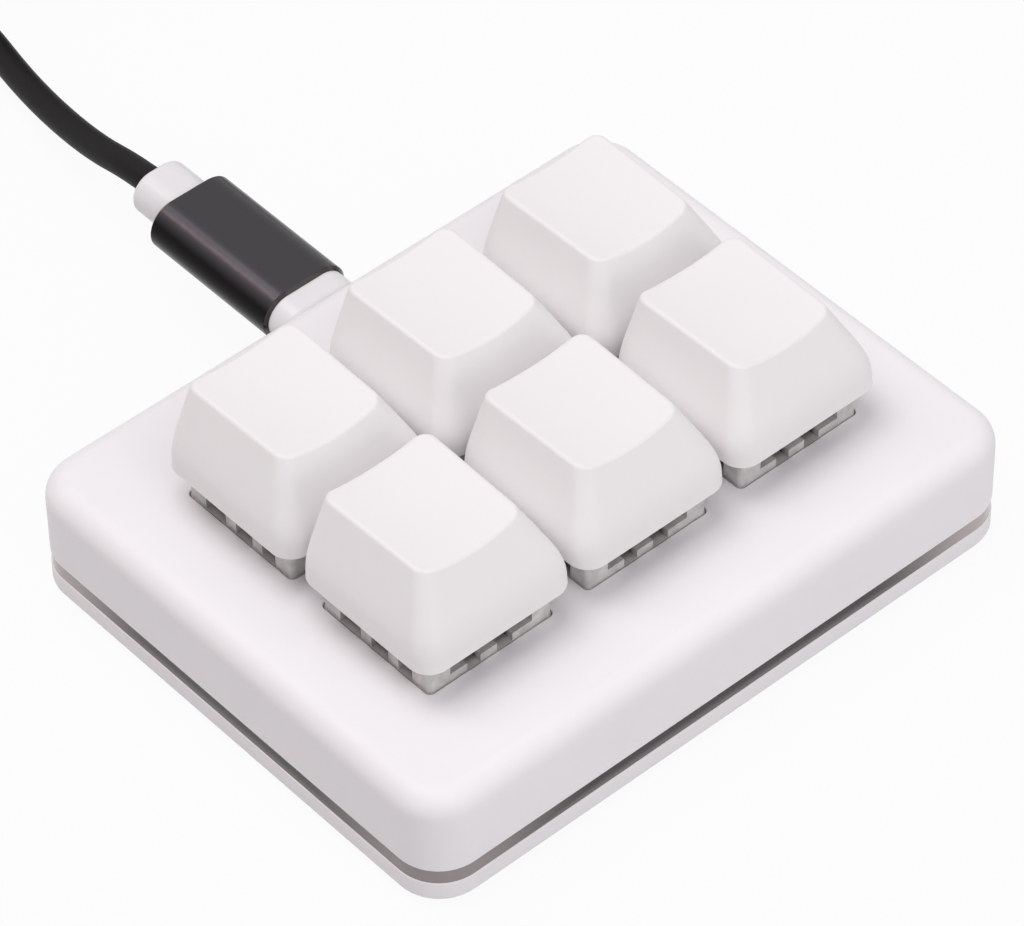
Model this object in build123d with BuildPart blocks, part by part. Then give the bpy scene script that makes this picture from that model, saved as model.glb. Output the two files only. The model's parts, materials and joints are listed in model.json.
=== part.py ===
from build123d import *
import math
import os

# Six-key macro keypad with its USB lead, in millimetres.
# X runs along the long side, +Y to the back where the lead plugs in, Z up from the feet.
os.makedirs("parts", exist_ok=True)

# Clearances: pieces that are pressed together, that slide, that lie loose in a hole.
fit_gap = 0.05
slide_gap = 0.2
loose_gap = 0.3
well_gap = 0.1
press_gap = 0.1

# Key grid. The 19.05 pitch of full-size keys gives the scale.
key_pitch = 19.05
columns = 3
rows = 2
key_shift = -0.4
travel = 4.0

# Switches, the common cross-stem pattern: 14 mm plate hole, 5 mm from plate to board.
plate_hole = 14.0
plate_thick = 1.5
board_drop = 5.0
flange_lip = 0.45
flange_thick = 1.0
flange_drop = 0.1
flange_corner = 0.6
housing_height = 6.6
floor_thick = 1.0
tub_wall = 1.35
cover_ledge = 0.05
cover_wall = 2.2
cover_corner = 0.6
crown_taper = 2.0
roof_thick = 1.2
housing_side = plate_hole - 2 * fit_gap
flange_side = plate_hole + 2 * flange_lip
cover_side = flange_side - 2 * cover_ledge

# Board and socket.
board_thick = 1.6
board_gap = 0.6
board_room = 1.3
port_shell_wide = 8.94
port_shell_high = 3.26
port_wall = 0.3
port_x = 0.6

# Case: three layers, top shell over smoked light band over bottom cover.
side_margin = 7.675
end_margin = 9.85
corner_radius = 4.8
edge_round = 2.4
foot_round = 0.5
seam_round = 0.2
wall = 2.2
foot_proud = 0.75
cover_thick = 2.35
band_thick = 1.6
band_setback = 0.1
band_width = 8.6
seat_depth = flange_thick + flange_drop
shell_height = seat_depth + board_drop + board_thick + board_room
case_length = columns * key_pitch + 2 * side_margin
case_width = rows * key_pitch + 2 * end_margin

# Keycap: upright skirt, rounded shoulder, straight flanks up to a dished crown.
cap_side = 18.1
cap_height = 8.7
cap_shoulder = 2.35
shoulder_round = 1.2
cap_sections = 10
crown_front = 5.9
crown_back = 6.25
crown_near = 5.1
crown_far = 8.45
cap_corner = 2.3
corner_taper = 0.9
cap_wall = 1.4
flank_wall = 1.05
room_corner = 0.4
room_shoulder = 2.6
room_height = 6.2
dish_depth = 0.65
rim_round = 0.45
cap_lift = travel + press_gap

# Fixings.
boss_inset = 5.7
boss_diameter = 5.5
screw_diameter = 2.0
screw_hold = 4.5
head_diameter = 3.8
head_thick = 1.2
foot_diameter = 10.0
foot_sunk = 0.6
foot_from_boss_x = 8.5
foot_from_boss_y = 4.1

# Lead.
cord_diameter = 3.0
coil_radius = 20.0
turn_gap = 0.5
layer_gap = 0.45
tie_thick = 0.5
tie_width = 6.0

# Levels from the desk up.
cover_z = foot_proud
band_z = cover_z + cover_thick
shell_z = band_z + band_thick
top_z = shell_z + shell_height
seat_z = top_z - seat_depth
plate_z = seat_z - plate_thick
board_top = seat_z - board_drop
board_z = board_top - board_thick
floor_z = board_top + floor_thick
flange_z = seat_z + flange_thick
housing_top = seat_z + housing_height
cap_z = top_z + cap_lift
port_z = board_top + port_shell_high / 2
back_y = case_width / 2

key_centres = [
    ((c - (columns - 1) / 2) * key_pitch, (r - (rows - 1) / 2) * key_pitch + key_shift)
    for r in range(rows)
    for c in range(columns)
]
boss_x = case_length / 2 - boss_inset
boss_y = case_width / 2 - boss_inset
corners = [(sx, sy) for sx in (-1, 1) for sy in (-1, 1)]
boss_points = [(sx * boss_x, sy * boss_y) for sx, sy in corners]
foot_points = [
    (sx * (boss_x - foot_from_boss_x), sy * (boss_y - foot_from_boss_y)) for sx, sy in corners
]


def save(part, label):
    part.label = label
    export_step(part, "parts/" + label + ".step")


def level(z):
    return Plane.XY.offset(z)


def facing_back(y, z, x=port_x):
    return Plane(origin=(x, y, z), x_dir=(1, 0, 0), z_dir=(0, 1, 0))


# Top shell: one moulding, with the switch plate as its roof and a boss in each corner.
with BuildPart() as top_case:
    with BuildSketch(level(shell_z)):
        RectangleRounded(case_length, case_width, corner_radius)
    extrude(amount=shell_height)
    fillet(top_case.faces().sort_by(Axis.Z)[-1].edges(), edge_round)
    fillet(top_case.faces().sort_by(Axis.Z)[0].edges(), seam_round)
    with BuildSketch(level(shell_z)):
        RectangleRounded(
            case_length - 2 * wall, case_width - 2 * wall, corner_radius - wall
        )
    extrude(amount=plate_z - shell_z, mode=Mode.SUBTRACT)
    with BuildSketch(level(shell_z)):
        with Locations(*boss_points):
            Circle(boss_diameter / 2)
    extrude(amount=plate_z - shell_z)
    with BuildSketch(level(shell_z)):
        with Locations(*boss_points):
            Circle(screw_diameter / 2 + fit_gap)
    extrude(amount=screw_hold + loose_gap, mode=Mode.SUBTRACT)
    with BuildSketch(level(seat_z)):
        with Locations(*key_centres):
            well_side = flange_side + 2 * well_gap
            RectangleRounded(well_side, well_side, flange_corner)
    extrude(amount=seat_depth, mode=Mode.SUBTRACT)
    rims = top_case.edges().filter_by_position(Axis.Z, top_z, top_z)
    rims = rims.filter_by_position(Axis.X, side_margin - case_length / 2, case_length / 2 - side_margin)
    rims = rims.filter_by_position(Axis.Y, end_margin / 2 - back_y, back_y - end_margin / 2)
    fillet(rims, seam_round / 2)
    with BuildSketch(level(plate_z)):
        with Locations(*key_centres):
            Rectangle(plate_hole, plate_hole)
    extrude(amount=plate_thick, mode=Mode.SUBTRACT)
    with BuildSketch(facing_back(back_y - wall, port_z)):
        SlotOverall(port_shell_wide + 2 * slide_gap, port_shell_high + 2 * slide_gap)
    extrude(amount=wall, mode=Mode.SUBTRACT)
save(top_case.part, "top_case")

# Smoked light band: a flat frame between shell and cover, nearly flush with both.
with BuildPart() as light_band:
    with BuildSketch(level(band_z)):
        RectangleRounded(
            case_length - 2 * band_setback,
            case_width - 2 * band_setback,
            corner_radius - band_setback,
        )
        RectangleRounded(
            case_length - 2 * band_width,
            case_width - 2 * band_width,
            corner_radius / 3,
            mode=Mode.SUBTRACT,
        )
        with Locations(*boss_points):
            Circle(screw_diameter / 2 + loose_gap, mode=Mode.SUBTRACT)
    extrude(amount=band_thick)
save(light_band.part, "light_band")

# Bottom cover: a plate with counterbored screw holes and a shallow pocket for each foot.
with BuildPart() as bottom_cover:
    with BuildSketch(level(cover_z)):
        RectangleRounded(case_length, case_width, corner_radius)
    extrude(amount=cover_thick)
    fillet(bottom_cover.faces().sort_by(Axis.Z)[0].edges(), foot_round)
    fillet(bottom_cover.faces().sort_by(Axis.Z)[-1].edges(), seam_round)
    with BuildSketch(level(cover_z)):
        with Locations(*foot_points):
            Circle(foot_diameter / 2 + 2 * fit_gap)
    extrude(amount=foot_sunk, mode=Mode.SUBTRACT)
    with BuildSketch(level(cover_z)):
        with Locations(*boss_points):
            Circle(head_diameter / 2 + slide_gap)
    extrude(amount=head_thick + slide_gap, mode=Mode.SUBTRACT)
    with BuildSketch(level(cover_z)):
        with Locations(*boss_points):
            Circle(screw_diameter / 2 + slide_gap)
    extrude(amount=cover_thick, mode=Mode.SUBTRACT)
save(bottom_cover.part, "bottom_cover")

# Four rubber feet, stuck in their pockets.
with BuildPart() as rubber_feet:
    with BuildSketch(level(0)):
        with Locations(*foot_points):
            Circle(foot_diameter / 2)
    extrude(amount=foot_proud + foot_sunk)
    chamfer(rubber_feet.edges().group_by(Axis.Z)[0], foot_proud / 2.5)
save(rubber_feet.part, "rubber_feet")

# Four screws from below: head in the counterbore, shank through the band into the boss.
head_z = cover_z + slide_gap
socket_radius = 0.75
socket_deep = 0.7
with BuildPart() as case_screws:
    with BuildSketch(level(head_z)):
        with Locations(*boss_points):
            Circle(head_diameter / 2)
    extrude(amount=head_thick)
    with BuildSketch(level(head_z + head_thick)):
        with Locations(*boss_points):
            Circle(screw_diameter / 2)
    extrude(amount=shell_z + screw_hold - head_z - head_thick)
    with BuildSketch(level(head_z)):
        with Locations(*boss_points):
            RegularPolygon(socket_radius, 6)
    extrude(amount=socket_deep, mode=Mode.SUBTRACT)
save(case_screws.part, "case_screws")

# Circuit board: carries the switches, notched round the bosses.
pin_a = (-3.81, 2.54)
pin_b = (2.54, 5.08)
pin_wide = 0.8
pin_thick = 0.3
peg_diameter = 4.0
board_length = case_length - 2 * (wall + board_gap)
board_width = case_width - 2 * (wall + board_gap)
notch_x = board_length / 2 - (boss_x - boss_diameter / 2 - loose_gap)
notch_y = board_width / 2 - (boss_y - boss_diameter / 2 - loose_gap)
with BuildPart() as circuit_board:
    with BuildSketch(level(board_z)):
        Rectangle(board_length, board_width)
        with GridLocations(board_length, board_width, 2, 2):
            Rectangle(2 * notch_x, 2 * notch_y, mode=Mode.SUBTRACT)
        with Locations(*key_centres):
            Circle(peg_diameter / 2 + fit_gap, mode=Mode.SUBTRACT)
            with Locations(pin_a, pin_b):
                Circle(pin_wide / 2 + slide_gap, mode=Mode.SUBTRACT)
    extrude(amount=board_thick)
save(circuit_board.part, "circuit_board")

# Controller under the board, between the two rows.
chip_side = 7.0
chip_thick = 0.9
with BuildPart() as controller_chip:
    with BuildSketch(level(board_z - chip_thick)):
        with Locations((0, key_shift)):
            Rectangle(chip_side, chip_side)
    extrude(amount=chip_thick)
save(controller_chip.part, "controller_chip")

# One light under the window of each switch.
led_y = -4.7
led_long = 3.2
led_wide = 2.8
led_thick = 0.7
with BuildPart() as key_leds:
    with BuildSketch(level(board_top)):
        with Locations(*key_centres):
            with Locations((0, led_y)):
                Rectangle(led_long, led_wide)
    extrude(amount=led_thick)
save(key_leds.part, "key_leds")

# Socket: a rolled steel shell with a closed back, and the contact tongue in it.
port_front = back_y - 1.2
port_depth = 7.3
port_back = 0.6
port_tongue_wide = 6.7
port_tongue_high = 0.7
port_tongue_short = 0.7
with BuildPart() as usb_port_shell:
    with BuildSketch(facing_back(port_front - port_depth, port_z)):
        SlotOverall(port_shell_wide, port_shell_high)
    extrude(amount=port_depth)
    with BuildSketch(facing_back(port_front - port_depth + port_back, port_z)):
        SlotOverall(port_shell_wide - 2 * port_wall, port_shell_high - 2 * port_wall)
    extrude(amount=port_depth, mode=Mode.SUBTRACT)
save(usb_port_shell.part, "usb_port_shell")

with BuildPart() as usb_port_tongue:
    with BuildSketch(facing_back(port_front - port_depth + port_back, port_z)):
        RectangleRounded(port_tongue_wide, port_tongue_high, port_tongue_high / 3)
    extrude(amount=port_depth - port_back - port_tongue_short)
save(usb_port_tongue.part, "usb_port_tongue")

# Contact leaves: two stamped pieces per switch, each a pin, a foot on the floor and a leaf.
leaf_y = 3.9
leaf_wide = 2.4
leaf_aside = 0.6
leaf_foot = 0.2
leaf_top = floor_z + 3.4
pin_z = board_z - board_thick
with BuildPart() as contact_leaves:
    with BuildSketch(level(pin_z)):
        with Locations(*key_centres):
            with Locations(pin_a, pin_b):
                Rectangle(pin_wide, pin_thick)
    extrude(amount=floor_z + leaf_foot - pin_z)
    with BuildSketch(level(floor_z)):
        with Locations(*key_centres):
            with Locations((pin_a[0], (pin_a[1] + leaf_y) / 2)):
                Rectangle(pin_wide, leaf_y - pin_a[1] + pin_thick)
    extrude(amount=leaf_foot)
    with BuildSketch(level(floor_z)):
        with Locations(*key_centres):
            with Locations((pin_a[0] + leaf_aside, leaf_y), pin_b):
                Rectangle(leaf_wide, pin_thick)
    extrude(amount=leaf_top - floor_z)
save(contact_leaves.part, "contact_leaves")

# Upper housing: relief pockets between ribs on its sides, a slotted lip at front and back.
skirt_z = flange_z + 2.3
roof_z = housing_top - roof_thick
relief_deep = 1.3
pocket_top = skirt_z - 0.25
side_pockets = [(3.43, 2.85), (-0.63, 2.33), (-4.12, 1.9)]
lip_z = flange_z + 0.95
lip_slots = [(-2.1, 1.6), (1.6, 1.85)]
recess_wide = 9.8
recess_top = skirt_z + 0.6

# Sizes that the moving parts of a switch share.
stem_x = 7.2
stem_y = 5.6
stem_z = floor_z + travel + loose_gap
wing_reach = 4.7
wing_wide = 1.6
tube_outer = 3.2
pole_diameter = 2.0
tube_top = floor_z + 3.2
pole_z = tube_top - 1.6
bore_z = pole_z - travel - 0.4
peg_z = bore_z - 1.2
spring_wire = 0.3
spring_mean = 3.8
spring_turns = 7
turn_steps = 8
spring_room = 4.8
spring_end = 0.1
spring_top = housing_top - 2.6
cross_long = 4.0
cross_thin = 1.2
cross_top = housing_top + 3.6
post_diameter = 5.5
cap_ceiling = cap_z + room_height


# The flank is a hyperbola, upright below the shoulder and straight above it.
def cap_lean(z):
    rise = z - cap_shoulder
    return (rise + math.hypot(rise, shoulder_round)) / 2


def cap_outline(z, skin=0):
    share = (cap_lean(z) - cap_lean(0)) / (cap_lean(cap_height) - cap_lean(0))
    half = cap_side / 2
    front, back, near, far = [
        half - share * (half - crown) - skin
        for crown in (crown_front, crown_back, crown_near, crown_far)
    ]
    with BuildSketch(level(cap_z + z)) as section:
        with BuildLine():
            Polyline((-front, -near), (front, -near), (back, far), (-back, far), close=True)
        make_face()
        fillet(section.vertices(), room_corner if skin else cap_corner - corner_taper * share)
    return section.sketch


section_pitch = (cap_height + dish_depth) / (cap_sections - 1)
cap_shape = [cap_outline(i * section_pitch) for i in range(cap_sections)]
cap_room = [
    cap_outline(0, cap_wall),
    cap_outline(room_shoulder, flank_wall),
    cap_outline(room_height, flank_wall),
]
dish_radius = (crown_front**2 + dish_depth**2) / (2 * dish_depth)
dish_z = cap_z + cap_height - dish_depth + dish_radius


def wire_section(angle, z):
    x = spring_mean / 2 * math.cos(angle)
    y = spring_mean / 2 * math.sin(angle)
    away = (math.cos(angle), math.sin(angle), 0)
    along = (-math.sin(angle), math.cos(angle), 0)
    with BuildSketch(Plane(origin=(x, y, z), x_dir=away, z_dir=along)) as section:
        Rectangle(spring_wire, spring_wire)
    return section.sketch


# Spring: a helix from the switch floor to the ceiling of the stem.
steps = turn_steps * spring_turns
spring_low = floor_z + spring_end + spring_wire / 2
spring_high = spring_top - spring_end - spring_wire / 2
spring_shape = [
    wire_section(
        2 * math.pi * i / turn_steps, spring_low + (spring_high - spring_low) * i / steps
    )
    for i in range(steps + 1)
]

for number, (key_x, key_y) in enumerate(key_centres, 1):
    here = Location((key_x, key_y, 0))

    # Lower housing: flange on the plate, tub below it, guide tube and locating peg.
    with BuildPart() as switch_base:
        with BuildSketch(level(board_top).move(here)):
            Rectangle(housing_side, housing_side)
        extrude(amount=board_drop)
        with BuildSketch(level(seat_z).move(here)):
            RectangleRounded(flange_side, flange_side, flange_corner)
        extrude(amount=flange_thick)
        with BuildSketch(level(floor_z).move(here)):
            Rectangle(housing_side - 2 * tub_wall, housing_side - 2 * tub_wall)
        extrude(amount=flange_z - floor_z, mode=Mode.SUBTRACT)
        with BuildSketch(level(floor_z).move(here)):
            Circle(tube_outer / 2)
        extrude(amount=tube_top - floor_z)
        with BuildSketch(level(peg_z).move(here)):
            Circle(peg_diameter / 2)
        extrude(amount=board_top - peg_z)
        with BuildSketch(level(bore_z).move(here)):
            Circle(pole_diameter / 2 + 2 * fit_gap)
        extrude(amount=tube_top - bore_z, mode=Mode.SUBTRACT)
        with BuildSketch(level(board_top).move(here)):
            with Locations((0, led_y)):
                Rectangle(led_long + 2 * loose_gap, led_wide + 2 * loose_gap)
            with Locations(pin_a, pin_b):
                Rectangle(pin_wide + slide_gap, pin_thick + slide_gap)
        extrude(amount=floor_thick, mode=Mode.SUBTRACT)
    save(switch_base.part, "switch_base_" + str(number))

    # Clear upper housing: ribbed skirt, tapered crown, opening for the stem in the roof.
    with BuildPart() as switch_cover:
        with BuildSketch(level(flange_z).move(here)):
            RectangleRounded(cover_side, cover_side, cover_corner)
        extrude(amount=skirt_z - flange_z)
        with BuildSketch(level(skirt_z).move(here)):
            RectangleRounded(cover_side, cover_side, cover_corner)
        with BuildSketch(level(housing_top).move(here)):
            RectangleRounded(cover_side - 2 * crown_taper, cover_side - 2 * crown_taper, cover_corner)
        loft(ruled=True)
        with BuildSketch(level(flange_z).move(here)):
            Rectangle(cover_side - 2 * cover_wall, cover_side - 2 * cover_wall)
        extrude(amount=roof_z - flange_z, mode=Mode.SUBTRACT)
        with BuildSketch(level(roof_z).move(here)):
            Rectangle(stem_x + 2 * slide_gap, stem_y + 2 * slide_gap)
        extrude(amount=roof_thick, mode=Mode.SUBTRACT)
        with BuildSketch(level(flange_z).move(here)):
            for pocket_y, pocket_wide in side_pockets:
                with Locations((-cover_side / 2, pocket_y), (cover_side / 2, pocket_y)):
                    Rectangle(2 * relief_deep, pocket_wide)
        extrude(amount=pocket_top - flange_z, mode=Mode.SUBTRACT)
        with BuildSketch(level(flange_z).move(here)):
            for slot_x, slot_wide in lip_slots:
                with Locations((slot_x, -cover_side / 2), (slot_x, cover_side / 2)):
                    Rectangle(slot_wide, 2 * relief_deep)
        extrude(amount=lip_z - flange_z, mode=Mode.SUBTRACT)
        with BuildSketch(level(lip_z).move(here)):
            with GridLocations(0, cover_side, 1, 2):
                Rectangle(recess_wide, 2 * relief_deep)
        extrude(amount=recess_top - lip_z, mode=Mode.SUBTRACT)
    save(switch_cover.part, "switch_cover_" + str(number))

    # Slider: cross on top, wings that stop under the roof, pole in the guide tube.
    with BuildPart() as switch_stem:
        with BuildSketch(level(stem_z).move(here)):
            Rectangle(stem_x, stem_y)
        extrude(amount=housing_top - stem_z)
        with BuildSketch(level(stem_z).move(here)):
            Rectangle(2 * wing_reach, wing_wide)
        extrude(amount=roof_z - slide_gap - stem_z)
        with BuildSketch(level(housing_top).move(here)):
            Rectangle(cross_long, cross_thin)
            Rectangle(cross_thin, cross_long)
        extrude(amount=cross_top - housing_top)
        with BuildSketch(level(stem_z).move(here)):
            Circle(spring_room / 2)
        extrude(amount=spring_top - stem_z, mode=Mode.SUBTRACT)
        with BuildSketch(level(pole_z).move(here)):
            Circle(pole_diameter / 2)
        extrude(amount=spring_top - pole_z)
    save(switch_stem.part, "switch_stem_" + str(number))

    with BuildPart() as switch_spring:
        loft([section.moved(here) for section in spring_shape], ruled=True)
    save(switch_spring.part, "switch_spring_" + str(number))

    # Keycap: dished crown, hollow below, with a post that grips the cross.
    with BuildPart() as keycap:
        loft([section.moved(here) for section in cap_shape])
        with BuildSketch(facing_back(key_y - cap_side, dish_z, key_x)):
            Circle(dish_radius)
        extrude(amount=2 * cap_side, mode=Mode.SUBTRACT)
        dish = keycap.faces().filter_by(GeomType.CYLINDER).sort_by(SortBy.AREA)[-1]
        fillet(dish.edges(), rim_round)
        loft([section.moved(here) for section in cap_room], ruled=True, mode=Mode.SUBTRACT)
        with BuildSketch(level(housing_top).move(here)):
            Circle(post_diameter / 2)
            Rectangle(cross_long + 2 * fit_gap, cross_thin + 2 * fit_gap, mode=Mode.SUBTRACT)
            Rectangle(cross_thin + 2 * fit_gap, cross_long + 2 * fit_gap, mode=Mode.SUBTRACT)
        extrude(amount=cross_top + fit_gap - housing_top)
        with BuildSketch(level(cross_top + fit_gap).move(here)):
            Circle(post_diameter / 2)
        extrude(amount=cap_ceiling + loose_gap - cross_top - fit_gap)
    save(keycap.part, "keycap_" + str(number))

# Plug in the socket: white core in a dark stadium shell, steel tongue, white sleeve.
plug_wide = 10.2
plug_high = 5.8
plug_skin = 1.0
plug_bevel = 0.3
plug_front = back_y + loose_gap
nose_long = 2.8
nose_step = 0.4
nose_round = 0.8
plug_shell_y = plug_front + nose_long
plug_shell_long = 17.7
plug_end = plug_shell_y + plug_shell_long
plug_back_wall = 2.0
tongue_wide = port_shell_wide - 2 * port_wall - slide_gap
tongue_high = port_shell_high - 2 * port_wall - slide_gap
tongue_skin = 0.3
tongue_reach = 7.1
tongue_hold = 3.0
sleeve_long = 5.0
sleeve_wide = 6.6
sleeve_high = 5.0
sleeve_round = 0.6
neck_diameter = 4.2
cord_start = 0.4
with BuildPart() as plug_shell:
    with BuildSketch(facing_back(plug_shell_y, port_z)):
        SlotOverall(plug_wide, plug_high)
    extrude(amount=plug_shell_long)
    ends = plug_shell.faces().sort_by(Axis.Y)
    chamfer(ends[0].edges() + ends[-1].edges(), plug_bevel)
    with BuildSketch(facing_back(plug_shell_y, port_z)):
        SlotOverall(plug_wide - 2 * plug_skin, plug_high - 2 * plug_skin)
    extrude(amount=plug_shell_long - plug_back_wall, mode=Mode.SUBTRACT)
    with BuildSketch(facing_back(plug_shell_y, port_z)):
        Circle(neck_diameter / 2 + fit_gap)
    extrude(amount=plug_shell_long, mode=Mode.SUBTRACT)
save(plug_shell.part, "plug_shell")

core_inset = 2 * (plug_skin + fit_gap)
with BuildPart() as plug_core:
    with BuildSketch(facing_back(plug_front, port_z)):
        SlotOverall(plug_wide - 2 * nose_step, plug_high - 2 * nose_step)
    extrude(amount=nose_long)
    fillet(plug_core.faces().sort_by(Axis.Y)[0].edges(), nose_round)
    with BuildSketch(facing_back(plug_shell_y, port_z)):
        SlotOverall(plug_wide - core_inset, plug_high - core_inset)
    extrude(amount=plug_shell_long - plug_back_wall - fit_gap)
    with BuildSketch(facing_back(plug_front, port_z)):
        SlotOverall(tongue_wide + 2 * fit_gap, tongue_high + 2 * fit_gap)
    extrude(amount=tongue_hold, mode=Mode.SUBTRACT)
save(plug_core.part, "plug_core")

with BuildPart() as plug_tongue:
    with BuildSketch(facing_back(plug_front - tongue_reach, port_z)):
        SlotOverall(tongue_wide, tongue_high)
        SlotOverall(tongue_wide - 2 * tongue_skin, tongue_high - 2 * tongue_skin, mode=Mode.SUBTRACT)
    extrude(amount=tongue_reach + tongue_hold)
save(plug_tongue.part, "plug_tongue")


# Sleeve: its neck goes through the back wall of a plug, and the cord ends in its bore.
def cord_sleeve(y, z, x):
    with BuildPart() as sleeve:
        with BuildSketch(facing_back(y - plug_back_wall, z, x)):
            Circle(neck_diameter / 2)
        extrude(amount=plug_back_wall)
        with BuildSketch(facing_back(y, z, x)):
            SlotOverall(sleeve_wide, sleeve_high)
        extrude(amount=sleeve_long)
        fillet(sleeve.faces().sort_by(Axis.Y)[-1].edges(), sleeve_round)
        with BuildSketch(facing_back(y + cord_start, z, x)):
            Circle(cord_diameter / 2 + fit_gap)
        extrude(amount=sleeve_long, mode=Mode.SUBTRACT)
    return sleeve.part


save(cord_sleeve(plug_end, port_z, port_x), "plug_sleeve")


def bent_path(points):
    bends = []
    for a, b, c in zip(points, points[1:], points[2:]):
        turn = (Vector(*b) - Vector(*a)).get_angle(Vector(*c) - Vector(*b))
        run = min((Vector(*b) - Vector(*a)).length, (Vector(*c) - Vector(*b)).length)
        bends.append(0.45 * run / math.tan(math.radians(turn) / 2))
    print("cord radii", [round(r, 1) for r in bends])
    with BuildLine() as path:
        FilletPolyline(*points, radius=bends)
    return path.wire()


# Coil: four flat layers of loops, in and out in turn, climbing in the half turn that reverses.
turn_pitch = cord_diameter + turn_gap
layer_pitch = cord_diameter + layer_gap
coil_x = 27.0
coil_y = 114.0
desk_gap = 0.25
coil_z = tie_thick + desk_gap + cord_diameter / 2
radii = [coil_radius - turn_pitch / 2 * k for k in (0, 1, 2, 3, 2, 1, 0, -1, 0, 1, 2, 3, 2, 1)]
spots = [Vector(coil_x - coil_radius, coil_y, coil_z)]
with BuildLine() as coil_line:
    Line(spots[0] - Vector(0, cord_diameter, 0), spots[0])
    for k, r in enumerate(radii):
        side = 1 if k % 2 == 0 else -1
        a = spots[-1]
        climb = layer_pitch if k % 4 == 3 else 0
        b = a + Vector(2 * r * side, 0, climb)
        reach = (b - a).length / 2
        mid = (a + b) * 0.5 + Vector(0, reach * side, 0)
        TangentArc(a, mid, tangent=(0, side, 0))
        TangentArc(mid, b, tangent=b - a)
        spots.append(b)
    a = spots[-1]
    mid = a + Vector(coil_radius, coil_radius, 0)
    TangentArc(a, mid, tangent=(0, 1, 0))
    Line(mid, mid + Vector(cord_diameter, 0, 0))
coil_start = spots[0] - Vector(0, cord_diameter, 0)
coil_end = mid + Vector(cord_diameter, 0, 0)
coil_path = coil_line.wire()
with BuildPart() as cable_coil:
    with BuildSketch(Plane(origin=coil_start, x_dir=(1, 0, 0), z_dir=(0, 1, 0))):
        RegularPolygon(cord_diameter / 2, 8, rotation=22.5)
    sweep(path=coil_path)
save(cable_coil.part, "cable_coil")

# Least gap between turns, over points along the middle of the coil.
count = 900
walk = [coil_path.position_at(i / count) for i in range(count + 1)]
step = coil_path.length / count
skip = int(2.5 * coil_radius / step)
least = min(
    (walk[i] - walk[j]).length
    for i in range(count + 1)
    for j in range(i + skip, count + 1)
)
print("coil least gap", round(least - cord_diameter, 3))

# Lead from the plug down to the desk and on to the coil.
lead_points = [
    (port_x, plug_end + cord_start + fit_gap, port_z),
    (port_x, plug_end + 7.5, port_z),
    (1.4, plug_end + 16.8, 6.0),
    (3.7, plug_end + 29.8, 3.2),
    (7.0, plug_end + 42.8, 1.8),
    (coil_start.X, coil_start.Y - 8.5, coil_z),
    (coil_start.X, coil_start.Y, coil_z),
]
lead_path = bent_path(lead_points)
with BuildPart() as cable_lead:
    with BuildSketch(facing_back(lead_points[0][1], port_z)):
        Circle(cord_diameter / 2)
    sweep(path=lead_path)
save(cable_lead.part, "cable_lead")

# Far end: host plug of the same make, lying on the desk beside the coil.
host_x = 58.0
host_wide = 15.4
host_high = 7.6
host_long = 25.0
host_skin = 1.2
host_corner = 2.4
host_z = host_high / 2 + fit_gap
host_back = 98.0
host_front = host_back - host_long
host_nose = 1.6
metal_wide = 12.0
metal_high = 4.5
metal_skin = 0.35
metal_corner = 0.6
metal_reach = 12.0
metal_hold = 5.0
metal_y = host_front - host_nose - metal_reach
window_side = 2.3
window_apart = 5.2
window_back = 6.3

tail_points = [
    (coil_end.X, coil_end.Y, coil_end.Z),
    (coil_end.X + 10.0, coil_end.Y, coil_end.Z),
    (host_x - 4.5, coil_end.Y - 6.0, coil_end.Z - 3.6),
    (host_x, host_back + 14.5, host_z),
    (host_x, host_back + cord_start + fit_gap, host_z),
]
tail_path = bent_path(tail_points)
with BuildPart() as cable_tail:
    with BuildSketch(Plane(origin=coil_end, x_dir=(0, 1, 0), z_dir=(1, 0, 0))):
        Circle(cord_diameter / 2)
    sweep(path=tail_path)
save(cable_tail.part, "cable_tail")

save(cord_sleeve(host_back, host_z, host_x), "host_plug_sleeve")

with BuildPart() as host_plug_shell:
    with BuildSketch(facing_back(host_front, host_z, host_x)):
        RectangleRounded(host_wide, host_high, host_corner)
    extrude(amount=host_long)
    ends = host_plug_shell.faces().sort_by(Axis.Y)
    chamfer(ends[0].edges() + ends[-1].edges(), plug_bevel)
    with BuildSketch(facing_back(host_front, host_z, host_x)):
        RectangleRounded(
            host_wide - 2 * host_skin, host_high - 2 * host_skin, host_corner - host_skin
        )
    extrude(amount=host_long - plug_back_wall, mode=Mode.SUBTRACT)
    with BuildSketch(facing_back(host_front, host_z, host_x)):
        Circle(neck_diameter / 2 + fit_gap)
    extrude(amount=host_long, mode=Mode.SUBTRACT)
save(host_plug_shell.part, "host_plug_shell")

host_inset = 2 * (host_skin + fit_gap)
with BuildPart() as host_plug_core:
    with BuildSketch(facing_back(host_front - host_nose, host_z, host_x)):
        RectangleRounded(
            host_wide - 2 * nose_step, host_high - 2 * nose_step, host_corner - nose_step
        )
    extrude(amount=host_nose)
    fillet(host_plug_core.faces().sort_by(Axis.Y)[0].edges(), nose_round / 2)
    with BuildSketch(facing_back(host_front, host_z, host_x)):
        RectangleRounded(host_wide - host_inset, host_high - host_inset, host_corner - host_skin)
    extrude(amount=host_long - plug_back_wall - fit_gap)
    with BuildSketch(facing_back(host_front - host_nose, host_z, host_x)):
        RectangleRounded(
            metal_wide + 2 * fit_gap, metal_high + 2 * fit_gap, metal_corner + fit_gap
        )
    extrude(amount=metal_hold, mode=Mode.SUBTRACT)
save(host_plug_core.part, "host_plug_core")

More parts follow.
